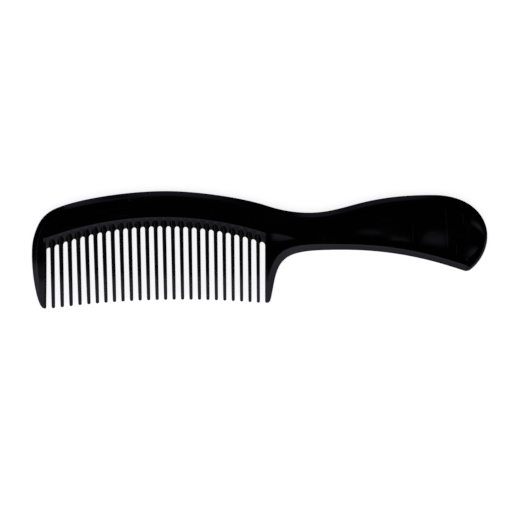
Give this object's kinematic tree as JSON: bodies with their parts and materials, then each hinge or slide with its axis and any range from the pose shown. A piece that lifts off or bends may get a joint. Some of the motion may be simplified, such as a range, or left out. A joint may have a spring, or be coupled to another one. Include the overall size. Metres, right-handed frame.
{
  "type": "wide tooth comb",
  "caption": "Flat wide tooth hair comb with an arched spine, a waisted palm-shaped handle, solid guards at both ends of the tooth row and round-tipped teeth, in glossy black plastic.",
  "frame": {"origin": "centre of the overall plan outline, on the flat back face that the comb lies on", "axes": "+X along the length, from the tooth end towards the handle; +Y away from the tooth tips, towards the spine's top edge; +Z the thickness, from the back face to the front face"},
  "size_m": [0.2158, 0.0558, 0.005],
  "materials": {
    "black_plastic": "injection-moulded, polished gloss black with fine handling scratches"
  },
  "bodies": {
    "root": {"spine": "black_plastic", "handle": "black_plastic", "front_guard": "black_plastic", "rear_guard": "black_plastic", "tooth_rail": "black_plastic", "tooth_01": "black_plastic", "tooth_02": "black_plastic", "tooth_03": "black_plastic", "tooth_04": "black_plastic", "tooth_05": "black_plastic", "tooth_06": "black_plastic", "tooth_07": "black_plastic", "tooth_08": "black_plastic", "tooth_09": "black_plastic", "tooth_10": "black_plastic", "tooth_11": "black_plastic", "tooth_12": "black_plastic", "tooth_13": "black_plastic", "tooth_14": "black_plastic", "tooth_15": "black_plastic", "tooth_16": "black_plastic", "tooth_17": "black_plastic", "tooth_18": "black_plastic", "tooth_19": "black_plastic", "tooth_20": "black_plastic", "tooth_21": "black_plastic", "tooth_22": "black_plastic", "tooth_23": "black_plastic", "tooth_24": "black_plastic", "tooth_25": "black_plastic"}
  },
  "joints": []
}
